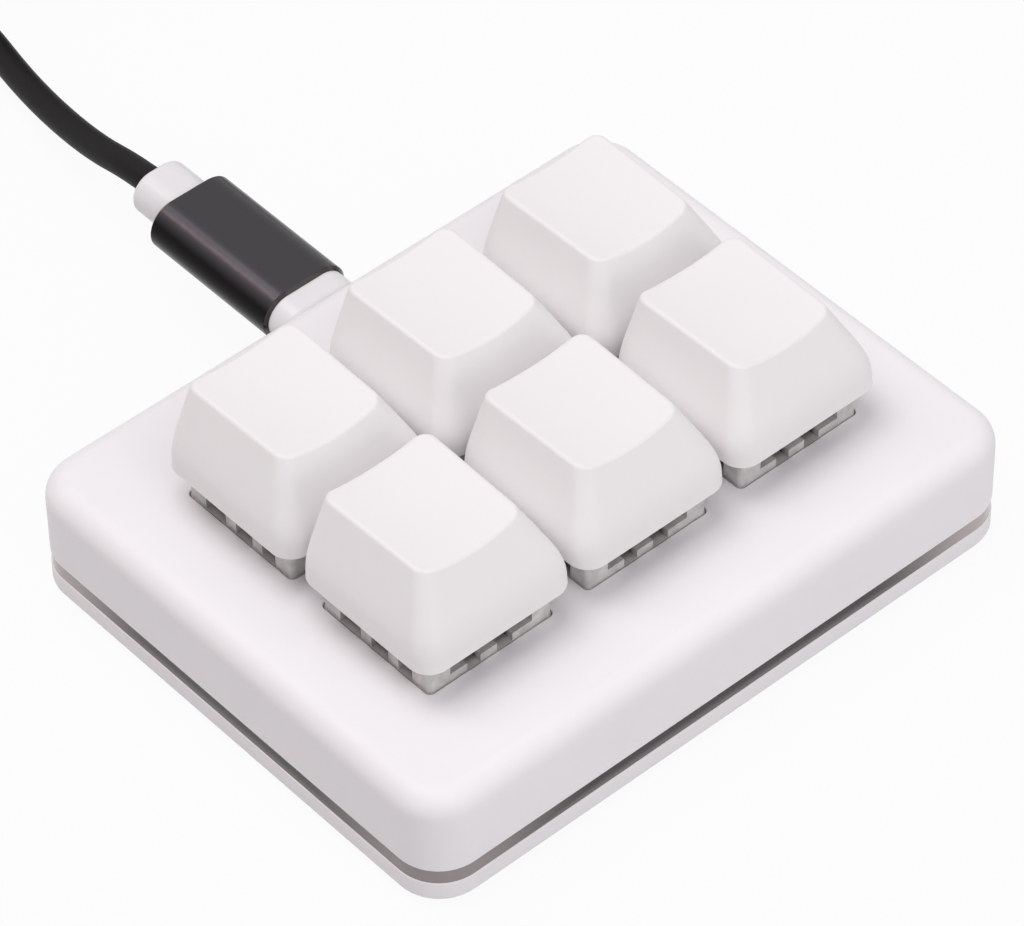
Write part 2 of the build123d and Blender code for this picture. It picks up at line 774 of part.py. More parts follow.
# Folded steel nose, with the two square latch windows in both broad faces.
with BuildPart() as host_plug_metal:
    with BuildSketch(facing_back(metal_y, host_z, host_x)):
        RectangleRounded(metal_wide, metal_high, metal_corner)
        RectangleRounded(
            metal_wide - 2 * metal_skin,
            metal_high - 2 * metal_skin,
            metal_corner - metal_skin,
            mode=Mode.SUBTRACT,
        )
    extrude(amount=metal_reach + metal_hold)
    with BuildSketch(level(host_z)):
        with Locations((host_x, metal_y + window_back)):
            with GridLocations(window_apart, 0, 2, 1):
                Rectangle(window_side, window_side)
    extrude(amount=metal_high, both=True, mode=Mode.SUBTRACT)
save(host_plug_metal.part, "host_plug_metal")

host_tongue_high = 1.9
host_tongue_z = metal_high / 2 - metal_skin - 2 * fit_gap - host_tongue_high / 2
with BuildPart() as host_plug_tongue:
    with BuildSketch(facing_back(metal_y + slide_gap, host_z, host_x)):
        with Locations((0, host_tongue_z)):
            Rectangle(metal_wide - 2 * metal_skin - slide_gap, host_tongue_high)
    extrude(amount=metal_reach + metal_hold - slide_gap)
save(host_plug_tongue.part, "host_plug_tongue")

# Tie: a strap round the turns on the right of the coil.
tie_low = coil_radius - turn_pitch - cord_diameter / 2 - 2 * loose_gap
tie_high = coil_radius + turn_pitch + cord_diameter / 2 + 2 * slide_gap
tie_tall = 3 * layer_pitch + cord_diameter + 2 * slide_gap
tie_x = coil_x + (tie_low + tie_high) / 2
tie_z = coil_z - cord_diameter / 2 - slide_gap + tie_tall / 2
tie_corner = 1.0
with BuildPart() as cable_tie:
    with BuildSketch(facing_back(coil_y - tie_width / 2, tie_z, tie_x)):
        RectangleRounded(
            tie_high - tie_low + 2 * tie_thick, tie_tall + 2 * tie_thick, tie_corner + tie_thick
        )
        RectangleRounded(tie_high - tie_low, tie_tall, tie_corner, mode=Mode.SUBTRACT)
    extrude(amount=tie_width)
save(cable_tie.part, "cable_tie")

lengths = [p.length for p in (lead_path, coil_path, tail_path)]
print("cord lengths", [round(v, 1) for v in lengths], "in all", round(sum(lengths), 1))
section = math.pi * cord_diameter**2 / 4
print("lead volume over section times length", cable_lead.part.volume / section / lengths[0])
print("tail volume over section times length", cable_tail.part.volume / section / lengths[2])
facets = 2 * math.sqrt(2) * (cord_diameter / 2) ** 2
print("coil volume over section times length", cable_coil.part.volume / facets / lengths[1])
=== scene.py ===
import json
import math

import bpy
from mathutils import Matrix, Vector

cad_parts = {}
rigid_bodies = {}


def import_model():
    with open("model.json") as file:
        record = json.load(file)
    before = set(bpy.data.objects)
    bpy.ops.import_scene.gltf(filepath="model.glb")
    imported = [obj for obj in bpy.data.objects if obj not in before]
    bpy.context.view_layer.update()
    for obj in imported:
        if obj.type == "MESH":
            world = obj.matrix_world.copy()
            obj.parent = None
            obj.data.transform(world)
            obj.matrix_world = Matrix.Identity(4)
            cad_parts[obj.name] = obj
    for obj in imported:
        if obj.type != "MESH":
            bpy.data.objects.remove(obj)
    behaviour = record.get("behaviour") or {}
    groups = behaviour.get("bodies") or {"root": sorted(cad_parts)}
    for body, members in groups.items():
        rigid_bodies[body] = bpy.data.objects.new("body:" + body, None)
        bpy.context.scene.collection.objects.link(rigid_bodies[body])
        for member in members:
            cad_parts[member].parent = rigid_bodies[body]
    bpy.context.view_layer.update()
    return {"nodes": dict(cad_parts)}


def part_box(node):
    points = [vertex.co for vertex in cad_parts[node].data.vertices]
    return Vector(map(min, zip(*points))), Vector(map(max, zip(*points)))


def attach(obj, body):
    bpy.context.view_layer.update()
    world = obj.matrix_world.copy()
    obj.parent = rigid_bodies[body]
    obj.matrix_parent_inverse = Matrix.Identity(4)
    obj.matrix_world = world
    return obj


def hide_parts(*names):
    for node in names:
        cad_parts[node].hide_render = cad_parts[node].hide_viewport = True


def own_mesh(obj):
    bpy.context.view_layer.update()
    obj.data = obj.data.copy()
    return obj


for leftover in list(bpy.data.objects):
    bpy.data.objects.remove(leftover)
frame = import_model()

# Bottom cover: the flat white plate that closes the case from below.
# Injection-moulded ABS with a fine spark-eroded skin, held up by four screws.
MM = 0.001


def linear(hex_colour):
    """The linear colour, with alpha, of an sRGB hex value."""
    shares = [int(hex_colour[i : i + 2], 16) / 255 for i in (1, 3, 5)]
    return [s / 12.92 if s <= 0.04045 else ((s + 0.055) / 1.055) ** 2.4 for s in shares] + [1.0]


def start_material(name, sockets):
    """A new material with constant values on its shader's own sockets."""
    material = bpy.data.materials.new(name)
    material.use_nodes = True
    shader = material.node_tree.nodes["Principled BSDF"]
    for socket, value in sockets.items():
        shader.inputs[socket].default_value = value
    return material, material.node_tree, shader


def add_node(tree, kind, values=None, links=None, **settings):
    """One shader node with its settings, the values on its inputs and what is linked to them."""
    node = tree.nodes.new(kind)
    for name, value in settings.items():
        setattr(node, name, value)
    for socket, value in (values or {}).items():
        node.inputs[socket].default_value = value
    for socket, source in (links or {}).items():
        tree.links.new(source, node.inputs[socket])
    return node


# A Mix node in colour mode has its two colours at these inputs and the result at this output.
COLOUR_A, COLOUR_B, MIXED = 6, 7, 2


def moulded_plastic(name, pale, deep, roughness, grain_mm, relief_mm, ior=1.54, shine=0.5):
    """Moulded white plastic: an even, faintly cloudy colour and a satin skin of fine grain."""
    material, tree, shader = start_material(name, {"IOR": ior, "Specular IOR Level": shine})
    place = add_node(tree, "ShaderNodeTexCoord").outputs["Object"]
    cloud_mm = 9.0
    cloud = add_node(
        tree,
        "ShaderNodeTexNoise",
        {"Scale": 1 / (cloud_mm * MM), "Detail": 2.0},
        {"Vector": place},
    )
    tint = add_node(
        tree,
        "ShaderNodeMix",
        {COLOUR_A: linear(deep), COLOUR_B: linear(pale)},
        {0: cloud.outputs["Fac"]},
        data_type="RGBA",
    )
    grain = add_node(
        tree,
        "ShaderNodeTexNoise",
        {"Scale": 1 / (grain_mm * MM), "Detail": 3.0, "Roughness": 0.6},
        {"Vector": place},
    )
    gloss_spread = 0.06
    gloss = add_node(
        tree,
        "ShaderNodeMapRange",
        {"To Min": roughness - gloss_spread, "To Max": roughness + gloss_spread},
        {"Value": grain.outputs["Fac"]},
    )
    bump = add_node(
        tree,
        "ShaderNodeBump",
        {"Strength": 0.35, "Distance": relief_mm * MM},
        {"Height": grain.outputs["Fac"]},
    )
    tree.links.new(tint.outputs[MIXED], shader.inputs["Base Color"])
    tree.links.new(gloss.outputs["Result"], shader.inputs["Roughness"])
    tree.links.new(bump.outputs["Normal"], shader.inputs["Normal"])
    return material


def dress(material, *names):
    """Gives CAD nodes a material in place of their plain one."""
    for name in names:
        frame["nodes"][name].data.materials.clear()
        frame["nodes"][name].data.materials.append(material)


# Satin ABS: no visible grain from a step away, only a soft wide highlight.
# Its true grit of about 0.05 mm is too fine to show, so it is drawn at 0.3 mm.
case_abs = moulded_plastic(
    "white_abs", "#F8F6F9", "#F4F2F6", 0.5, grain_mm=0.3, relief_mm=0.006, shine=0.25
)
dress(case_abs, "bottom_cover")

# Rubber feet: four black discs of soft silicone rubber, glued in their pockets.
# Cut from sheet, so they are dead matt with a dusty, slightly pitted face.


def speckled(name, sockets, speck_mm, colours, detail=2.0, gloss=None, relief=None):
    """A finish with one fine speckle in its two colours, its gloss and its relief.

    Gloss is the roughness from speck to speck, and relief is its strength and its depth in mm.
    """
    material, tree, shader = start_material(name, sockets)
    place = add_node(tree, "ShaderNodeTexCoord").outputs["Object"]
    noise = add_node(
        tree,
        "ShaderNodeTexNoise",
        {"Scale": 1 / (speck_mm * MM), "Detail": detail},
        {"Vector": place},
    )
    specks = noise.outputs["Fac"]
    tint = add_node(
        tree,
        "ShaderNodeMix",
        {COLOUR_A: linear(colours[0]), COLOUR_B: linear(colours[1])},
        {0: specks},
        data_type="RGBA",
    )
    tree.links.new(tint.outputs[MIXED], shader.inputs["Base Color"])
    if gloss:
        polish = add_node(
            tree, "ShaderNodeMapRange", {"To Min": gloss[0], "To Max": gloss[1]}, {"Value": specks}
        )
        tree.links.new(polish.outputs["Result"], shader.inputs["Roughness"])
    if relief:
        bump = add_node(
            tree,
            "ShaderNodeBump",
            {"Strength": relief[0], "Distance": relief[1] * MM},
            {"Height": specks},
        )
        tree.links.new(bump.outputs["Normal"], shader.inputs["Normal"])
    return material


foot_rubber = speckled(
    "silicone_rubber",
    {"Roughness": 0.82, "IOR": 1.41},
    speck_mm=0.4,
    colours=("#1F1F21", "#333336"),
    detail=4.0,
    relief=(0.5, 0.03),
)
dress(foot_rubber, "rubber_feet")

# Light band: a laser-cut frame of smoked acrylic, clamped between shell and cover.
# Its polished edge is dark, with a painted shadow under the shell and painted light towards
# the bottom. Its corners carry a painted glow, weakest at the front left one.
band_low, band_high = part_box("light_band")
smoke, tree, shader = start_material("smoked_acrylic", {"IOR": 1.49, "Specular IOR Level": 0.3})
place = add_node(tree, "ShaderNodeTexCoord").outputs["Object"]
axes = add_node(tree, "ShaderNodeSeparateXYZ", None, {0: place})
# Painted glow: the colour turns paler near the band's corners, and less so towards the front left
# one.
painted_glow_mm, full_painted_glow_mm = 20.0, 0.8
painted_glow_nearness = []
for axis, reach in (("X", band_high.x), ("Y", band_high.y)):
    distance = add_node(
        tree, "ShaderNodeMath", None, {0: axes.outputs[axis]}, operation="ABSOLUTE"
    )
    near = add_node(
        tree,
        "ShaderNodeMapRange",
        {"From Min": reach - painted_glow_mm * MM, "From Max": reach - full_painted_glow_mm * MM},
        {"Value": distance.outputs[0]},
        interpolation_type="SMOOTHSTEP",
    )
    painted_glow_nearness.append(near.outputs["Result"])
painted_corner_glow = add_node(
    tree, "ShaderNodeMath", None, {0: painted_glow_nearness[0], 1: painted_glow_nearness[1]}, operation="MULTIPLY"
)
from_front_left = add_node(
    tree, "ShaderNodeVectorMath", {1: band_low}, {0: place}, operation="DISTANCE"
)
dim_reach_mm, dim_share = 50.0, 0.55
painted_glow_strength = add_node(
    tree,
    "ShaderNodeMapRange",
    {"From Max": dim_reach_mm * MM, "To Min": dim_share, "To Max": 1.0},
    {"Value": from_front_left.outputs["Value"]},
)
painted_glow = add_node(
    tree,
    "ShaderNodeMath",
    None,
    {0: painted_corner_glow.outputs[0], 1: painted_glow_strength.outputs["Result"]},
    operation="MULTIPLY",
)
streak_mm = 6.0
streaks = add_node(
    tree, "ShaderNodeTexNoise", {"Scale": 1 / (streak_mm * MM), "Detail": 3.0}, {"Vector": place}
)
edge_gloss = add_node(
    tree,
    "ShaderNodeMapRange",
    {"To Min": 0.1, "To Max": 0.24},
    {"Value": streaks.outputs["Fac"]},
)
# Painted shadow under the shell at the top, and painted light growing paler towards the bottom.
painted_shadow_mm, painted_light_below_share = 0.5, 0.26
painted_light_below = add_node(
    tree,
    "ShaderNodeMapRange",
    {
        "From Min": band_high.z - painted_shadow_mm * MM,
        "From Max": band_low.z,
        "To Max": painted_light_below_share,
    },
    {"Value": axes.outputs["Z"]},
    interpolation_type="SMOOTHSTEP",
)
paleness_with_painted_light = add_node(
    tree,
    "ShaderNodeMath",
    None,
    {0: painted_glow.outputs[0], 1: painted_light_below.outputs["Result"]},
    operation="MAXIMUM",
)
# The band's colour runs from dark smoke to the pale of its painted glow and painted light.
painted_band_tint = add_node(
    tree,
    "ShaderNodeMix",
    {COLOUR_A: linear("#2C2729"), COLOUR_B: linear("#C5BCBB")},
    {0: paleness_with_painted_light.outputs[0]},
    data_type="RGBA",
)
tree.links.new(painted_band_tint.outputs[MIXED], shader.inputs["Base Color"])
tree.links.new(edge_gloss.outputs["Result"], shader.inputs["Roughness"])
dress(smoke, "light_band")

# Circuit board: glass-epoxy laminate under dark green solder mask, with its tracks just raised.
# The switches are soldered to it, and the controller and the lights sit flat on it.
laminate, tree, shader = start_material("masked_laminate", {"Roughness": 0.34, "IOR": 1.55})
place = add_node(tree, "ShaderNodeTexCoord").outputs["Object"]
track_mm, tracks_per_row = 1.27, 8
tracks = add_node(
    tree,
    "ShaderNodeTexBrick",
    {
        "Color1": linear("#0F2A20"),
        "Color2": linear("#123327"),
        "Mortar": linear("#1F5A41"),
        "Scale": 1 / (tracks_per_row * track_mm * MM),
        "Mortar Size": 0.012,
    },
    {"Vector": place},
)
copper_mm = 0.035
raised = add_node(
    tree,
    "ShaderNodeBump",
    {"Strength": 0.4, "Distance": copper_mm * MM},
    {"Height": tracks.outputs["Fac"]},
)
tree.links.new(tracks.outputs["Color"], shader.inputs["Base Color"])
tree.links.new(raised.outputs["Normal"], shader.inputs["Normal"])
dress(laminate, "circuit_board")

# Chip epoxy is filled with ground silica: a dull black with a faint speckle.
chip_epoxy = speckled(
    "chip_epoxy",
    {"IOR": 1.55},
    speck_mm=0.15,
    colours=("#222224", "#2E2E30"),
    gloss=(0.45, 0.65),
)
dress(chip_epoxy, "controller_chip")

# The lights are cast in glossy resin, over phosphor that is yellow in patches.
led_resin = speckled(
    "led_resin",
    {"Roughness": 0.12, "IOR": 1.5, "Coat Weight": 0.5},
    speck_mm=0.5,
    colours=("#EFE9D2", "#E6DDB4"),
)
dress(led_resin, "key_leds")

# Socket: a shell rolled from nickel-plated steel, open to the back, round a nylon tongue.
# The strip is drawn lengthways, which leaves fine streaks along Y in the plating.
plating, tree, shader = start_material("nickel_plate", {"Metallic": 1.0})
place = add_node(tree, "ShaderNodeTexCoord").outputs["Object"]
draw_mm, draw_stretch = 0.12, 50
stretch = add_node(
    tree,
    "ShaderNodeMapping",
    {"Scale": [1 / (draw_mm * MM), 1 / (draw_stretch * draw_mm * MM), 1 / (draw_mm * MM)]},
    {"Vector": place},
)
drawn = add_node(
    tree, "ShaderNodeTexNoise", {"Scale": 1.0, "Detail": 2.0}, {"Vector": stretch.outputs[0]}
)
plate_tint = add_node(
    tree,
    "ShaderNodeMix",
    {COLOUR_A: linear("#BFBFC1"), COLOUR_B: linear("#D5D4D3")},
    {0: drawn.outputs["Fac"]},
    data_type="RGBA",
)
plate_gloss = add_node(
    tree, "ShaderNodeMapRange", {"To Min": 0.2, "To Max": 0.34}, {"Value": drawn.outputs["Fac"]}
)
tree.links.new(plate_tint.outputs[MIXED], shader.inputs["Base Color"])
tree.links.new(plate_gloss.outputs["Result"], shader.inputs["Roughness"])
dress(plating, "usb_port_shell")


def contact_tongue(name, body_hex, pitch_mm):
    """Moulded nylon with gold-plated contact strips along Y, a pitch apart across X."""
    material, tree, shader = start_material(name, {"IOR": 1.53})
    place = add_node(tree, "ShaderNodeTexCoord").outputs["Object"]
    axes = add_node(tree, "ShaderNodeSeparateXYZ", None, {0: place})
    count = add_node(
        tree,
        "ShaderNodeMath",
        {1: 1 / (pitch_mm * MM)},
        {0: axes.outputs["X"]},
        operation="MULTIPLY",
    )
    share = add_node(tree, "ShaderNodeMath", None, {0: count.outputs[0]}, operation="FRACT")
    bare_share = 0.5
    strip = add_node(
        tree, "ShaderNodeMath", {1: bare_share}, {0: share.outputs[0]}, operation="GREATER_THAN"
    )
    paint = add_node(
        tree,
        "ShaderNodeMix",
        {COLOUR_A: linear(body_hex), COLOUR_B: linear("#D9B45E")},
        {0: strip.outputs[0]},
        data_type="RGBA",
    )
    gloss = add_node(
        tree, "ShaderNodeMapRange", {"To Min": 0.5, "To Max": 0.22}, {"Value": strip.outputs[0]}
    )
    tree.links.new(paint.outputs[MIXED], shader.inputs["Base Color"])
    tree.links.new(strip.outputs[0], shader.inputs["Metallic"])
    tree.links.new(gloss.outputs["Result"], shader.inputs["Roughness"])
    return material


dress(contact_tongue("socket_tongue_nylon", "#1E1E20", pitch_mm=0.5), "usb_port_tongue")

# Top shell: the white moulding that is also the switch plate, with a well for each switch.
# Moulded in the same satin ABS as the cover, which is screwed up to its four bosses.
dress(case_abs, "top_case")

# Contact leaves: two stamped springs of gold-flashed brass in each switch.
# Their sheared faces are a little rougher than the rolled ones.
brass = speckled(
    "flashed_brass",
    {"Metallic": 1.0},
    speck_mm=0.2,
    colours=("#C9A24B", "#E0BF72"),
    gloss=(0.22, 0.4),
)
dress(brass, "contact_leaves")

# Switch housings: a milky lower half pressed in the plate, and a clear upper half clipped on it.
# Both let the key's light through, so nothing in them is quite opaque. Their pockets and insides
# carry painted shade.
key_pitch = 19.05 * MM
switch_count = len([name for name in frame["nodes"] if name.startswith("switch_base_")])
switches = range(1, switch_count + 1)


def housing_plastic(name, pale, deep, clearness, roughness, ior):
    """Translucent moulding with faint flow marks, pale at its skin, with painted shade in its
    pockets and inside.
    """
    material, tree, shader = start_material(name, {"IOR": ior, "Transmission Weight": clearness})
    place = add_node(tree, "ShaderNodeTexCoord").outputs["Object"]
    axes = add_node(tree, "ShaderNodeSeparateXYZ", None, {0: place})
    low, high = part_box("switch_cover_1")
    reaches = []
    for axis, middle in (("X", (low.x + high.x) / 2), ("Y", (low.y + high.y) / 2)):
        aside = add_node(
            tree,
            "ShaderNodeMath",
            {1: middle + key_pitch / 2, 2: middle - key_pitch / 2},
            {0: axes.outputs[axis]},
            operation="WRAP",
        )
        offset = add_node(
            tree, "ShaderNodeMath", {1: middle}, {0: aside.outputs[0]}, operation="SUBTRACT"
        )
        reach = add_node(
            tree, "ShaderNodeMath", None, {0: offset.outputs[0]}, operation="ABSOLUTE"
        )
        reaches.append(reach.outputs[0])
    reach = add_node(
        tree, "ShaderNodeMath", None, {0: reaches[0], 1: reaches[1]}, operation="MAXIMUM"
    )
    flow_mm = 1.6
    flow = add_node(
        tree,
        "ShaderNodeTexNoise",
        {"Scale": 1 / (flow_mm * MM), "Detail": 2.0, "Distortion": 0.6},
        {"Vector": place},
    )
    half = (high.x - low.x) / 2
    full_shade_depth_mm, no_shade_depth_mm = 1.2, 0.36
    # Painted shade: more than 0.36 mm in from the outer faces the colour turns to the deep one,
    # fully at 1.2 mm.
    clear_of_painted_shade = add_node(
        tree,
        "ShaderNodeMapRange",
        {"From Min": half - full_shade_depth_mm * MM, "From Max": half - no_shade_depth_mm * MM},
        {"Value": reach.outputs[0]},
        interpolation_type="SMOOTHSTEP",
    )
    mottle = add_node(
        tree,
        "ShaderNodeMapRange",
        {"From Min": 0.3, "From Max": 0.7, "To Min": 0.7, "To Max": 1.0},
        {"Value": flow.outputs["Fac"]},
    )
    paleness_with_painted_light = add_node(
        tree,
        "ShaderNodeMath",
        None,
        {0: clear_of_painted_shade.outputs["Result"], 1: mottle.outputs["Result"]},
        operation="MULTIPLY",
    )
    tint = add_node(
        tree,
        "ShaderNodeMix",
        {COLOUR_A: linear(deep), COLOUR_B: linear(pale)},
        {0: paleness_with_painted_light.outputs[0]},
        data_type="RGBA",
    )
    gloss = add_node(
        tree,
        "ShaderNodeMapRange",
        {"To Min": roughness - 0.05, "To Max": roughness + 0.08},
        {"Value": flow.outputs["Fac"]},
    )
    wave_mm = 0.02
    waves = add_node(
        tree,
        "ShaderNodeBump",
        {"Strength": 0.15, "Distance": wave_mm * MM},
        {"Height": flow.outputs["Fac"]},
    )
    tree.links.new(tint.outputs[MIXED], shader.inputs["Base Color"])
    tree.links.new(gloss.outputs["Result"], shader.inputs["Roughness"])
    tree.links.new(waves.outputs["Normal"], shader.inputs["Normal"])
    return material


# The deep colour of each housing is its painted shade.
milky_nylon = housing_plastic(
    "milky_nylon", "#DAD8D6", "#8F8C8A", clearness=0.1, roughness=0.4, ior=1.53
)
clear_pc = housing_plastic(
    "clear_polycarbonate", "#F4F2F0", "#4C4A49", clearness=0.2, roughness=0.18, ior=1.58
)
for number in switches:
    dress(milky_nylon, f"switch_base_{number}")
    dress(clear_pc, f"switch_cover_{number}")

# Springs: cold-drawn round wire with closed ends, between switch floor and stem.
# Bright steel, patchy in its gloss.
wire_steel = speckled(
    "spring_steel",
    {"Metallic": 1.0},
    speck_mm=0.3,
    colours=("#B4B4B6", "#CFCFCF"),
    gloss=(0.18, 0.36),
)


def new_piece(name, vertices, faces, material, smooth=True):
    """A mesh object in the row frame, in metres."""
    mesh = bpy.data.meshes.new(name)
    mesh.from_pydata(vertices, [], faces)
    mesh.update()
    for face in mesh.polygons:
        face.use_smooth = smooth
    piece = bpy.data.objects.new(name, mesh)
    piece.data.materials.append(material)
    bpy.context.scene.collection.objects.link(piece)
    return piece


def tube(name, line, radius, sides, material):
    """A round wire along a line of points, closed at both ends."""
    vertices = []
    for index, point in enumerate(line):
        ahead = line[min(index + 1, len(line) - 1)] - line[max(index - 1, 0)]
        across = ahead.cross(Vector((0, 0, 1))).normalized()
        above = across.cross(ahead).normalized()
        for side in range(sides):
            angle = 2 * math.pi * side / sides
            vertices.append(point + radius * (math.cos(angle) * across + math.sin(angle) * above))
    faces = []
    for ring in range(len(line) - 1):
        for side in range(sides):
            a, b = ring * sides + side, ring * sides + (side + 1) % sides
            faces.append((a, a + sides, b + sides, b))
    faces.append(tuple(range(sides)))
    faces.append(tuple(reversed(range((len(line) - 1) * sides, len(line) * sides))))
    return new_piece(name, vertices, faces, material)


wire_radius = 0.15 * MM
wire_sides = 8
spring_turns = 7
closed_turns = 1
closed_share = 0.07
steps_per_turn = 20
for number in switches:
    low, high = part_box(f"switch_spring_{number}")
    middle = (low + high) / 2
    coil_radius = (high.x - low.x) / 2 - wire_radius
    climb = high.z - low.z - 2 * wire_radius
    closed_rise = closed_share * climb
    line = []
    for step in range(spring_turns * steps_per_turn + 1):
        turn = step / steps_per_turn
        open_share = (turn - closed_turns) / (spring_turns - 2 * closed_turns)
        rise = closed_rise + (climb - 2 * closed_rise) * min(max(open_share, 0), 1)
        if turn < closed_turns:
            rise = closed_rise * turn / closed_turns
        if turn > spring_turns - closed_turns:
            rise = climb - closed_rise * (spring_turns - turn) / closed_turns
        angle = 2 * math.pi * turn
        offset = Vector((coil_radius * math.cos(angle), coil_radius * math.sin(angle), rise))
        line.append(Vector((middle.x, middle.y, low.z + wire_radius)) + offset)
    spring = tube(f"round_spring_{number}", line, wire_radius, wire_sides, wire_steel)
    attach(spring, "case")
    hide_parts(f"switch_spring_{number}")
    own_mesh(spring)

# Stems: the sliders that carry the caps, moulded in slippery acetal.
# Pale and waxy, with a soft sheen.
acetal = moulded_plastic(
    "acetal", "#EDEDEA", "#E2E2DF", 0.34, grain_mm=0.5, relief_mm=0.004, ior=1.48
)
for number in switches:
    dress(acetal, f"switch_stem_{number}")

# Keycaps: blank white caps pushed on the stems, dished across and leaning back.
# Moulded in PBT, whiter and drier than the case, with a sandy feel that is drawn at 0.4 mm.
cap_pbt = moulded_plastic(
    "white_pbt", "#F4F2F3", "#F1EFF0", 0.55, grain_mm=0.4, relief_mm=0.008, ior=1.57
)
for number in switches:
    dress(cap_pbt, f"keycap_{number}")

# Case screws: four steel machine screws with a hexagon socket, zinc plated.
# Tumbled in the bath, so the plating is grey and patchy, with handling marks.
zinc = speckled(
    "zinc_plate",
    {"Metallic": 1.0},
    speck_mm=0.25,
    colours=("#9C9DA1", "#BDBEC0"),
    detail=3.0,
    gloss=(0.25, 0.45),
)
dress(zinc, "case_screws")

# Lead's plug: a white moulded core and sleeve in a drawn aluminium shell.
# The shell is blasted and anodised dark grey, then turned bright along the chamfer at each end.
core_abs = moulded_plastic(
    "white_core", "#EEEDF0", "#E8E7EA", 0.3, grain_mm=0.5, relief_mm=0.003
)
dress(core_abs, "plug_core", "plug_sleeve", "host_plug_core", "host_plug_sleeve")
dress(plating, "plug_tongue")


def anodised(name, node):
    """Dark anodised aluminium: blasted, with painted shade on the round sides, bright end
    chamfers.
    """
    low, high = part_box(node)
    material, tree, shader = start_material(name, {"Metallic": 1.0})
    place = add_node(tree, "ShaderNodeTexCoord").outputs["Object"]
    axes = add_node(tree, "ShaderNodeSeparateXYZ", None, {0: place})
    from_middle = add_node(
        tree,
        "ShaderNodeMath",
        {1: (low.y + high.y) / 2},
        {0: axes.outputs["Y"]},
        operation="SUBTRACT",
    )
    distance = add_node(
        tree, "ShaderNodeMath", None, {0: from_middle.outputs[0]}, operation="ABSOLUTE"
    )
    chamfer_mm = 0.29
    cut = add_node(
        tree,
        "ShaderNodeMath",
        {1: (high.y - low.y) / 2 - chamfer_mm * MM},
        {0: distance.outputs[0]},
        operation="GREATER_THAN",
    )
    blast_mm, blast_depth_mm = 0.2, 0.01
    blast = add_node(
        tree,
        "ShaderNodeTexNoise",
        {"Scale": 1 / (blast_mm * MM), "Detail": 4.0},
        {"Vector": place},
    )
    # Painted shade: the round sides, facing neither up nor down, are coloured darker than the flat
    # top and bottom.
    facing = add_node(tree, "ShaderNodeTexCoord").outputs["Normal"]
    upward = add_node(tree, "ShaderNodeSeparateXYZ", None, {0: facing})
    flatness = add_node(
        tree, "ShaderNodeMath", None, {0: upward.outputs["Z"]}, operation="ABSOLUTE"
    )
    unshaded_flat_share = add_node(
        tree,
        "ShaderNodeMapRange",
        {"From Min": 0.5, "From Max": 0.92},
        {"Value": flatness.outputs[0]},
        interpolation_type="SMOOTHSTEP",
    )
    painted_side_shade = add_node(
        tree,
        "ShaderNodeMix",
        {COLOUR_A: linear("#1D1A1B"), COLOUR_B: linear("#464347")},
        {0: unshaded_flat_share.outputs["Result"]},
        data_type="RGBA",
    )
    paint = add_node(
        tree,
        "ShaderNodeMix",
        {COLOUR_B: linear("#565251")},
        {0: cut.outputs[0], COLOUR_A: painted_side_shade.outputs[MIXED]},
        data_type="RGBA",
    )
    gloss = add_node(
        tree, "ShaderNodeMapRange", {"To Min": 0.27, "To Max": 0.18}, {"Value": cut.outputs[0]}
    )
    grain = add_node(
        tree,
        "ShaderNodeBump",
        {"Strength": 0.2, "Distance": blast_depth_mm * MM},
        {"Height": blast.outputs["Fac"]},
    )
    tree.links.new(paint.outputs[MIXED], shader.inputs["Base Color"])
    tree.links.new(gloss.outputs["Result"], shader.inputs["Roughness"])
    tree.links.new(grain.outputs["Normal"], shader.inputs["Normal"])
    return material


dress(anodised("anodised_plug", "plug_shell"), "plug_shell")

# Host plug: the lead's other end, of the same make, with a folded steel nose.
# The white tongue in the nose carries four flat contacts.
dress(anodised("anodised_host_plug", "host_plug_shell"), "host_plug_shell")
dress(plating, "host_plug_metal")
dress(contact_tongue("host_tongue_nylon", "#E6E5E2", pitch_mm=2.5), "host_plug_tongue")

# Lead: one smooth round cable in a black PVC jacket, from plug sleeve to plug sleeve.
# Out of the plug it sinks to the desk and runs back, and its spare length is coiled and tied.
# The jacket is extruded: a dull black skin with a slight orange peel.
cord_diameter = 3.0
lead_route = [
    (0.6, 50.15, 9.23),
    (0.6, 57.2, 9.23),
    (1.4, 66.5, 6.0),
    (3.7, 79.5, 3.2),
    (7.0, 92.5, 1.8),
    (7.0, 102.5, 2.25),
    (7.0, 111.0, 2.25),
]
turn_pitch = cord_diameter + 0.5
layer_pitch = cord_diameter + 0.45
coil_middle_y = 114.0
outer_radius = 20.0
points_per_half = 8
# Each half turn lies this many half pitches inside the outer one, and every fourth climbs a layer.
half_turns = (0, 1, 2, 3, 2, 1, 0, -1, 0, 1, 2, 3, 2, 1)
arcs = [(outer_radius - turn_pitch / 2 * inward, points_per_half) for inward in half_turns]
arcs.append((outer_radius, points_per_half // 2))
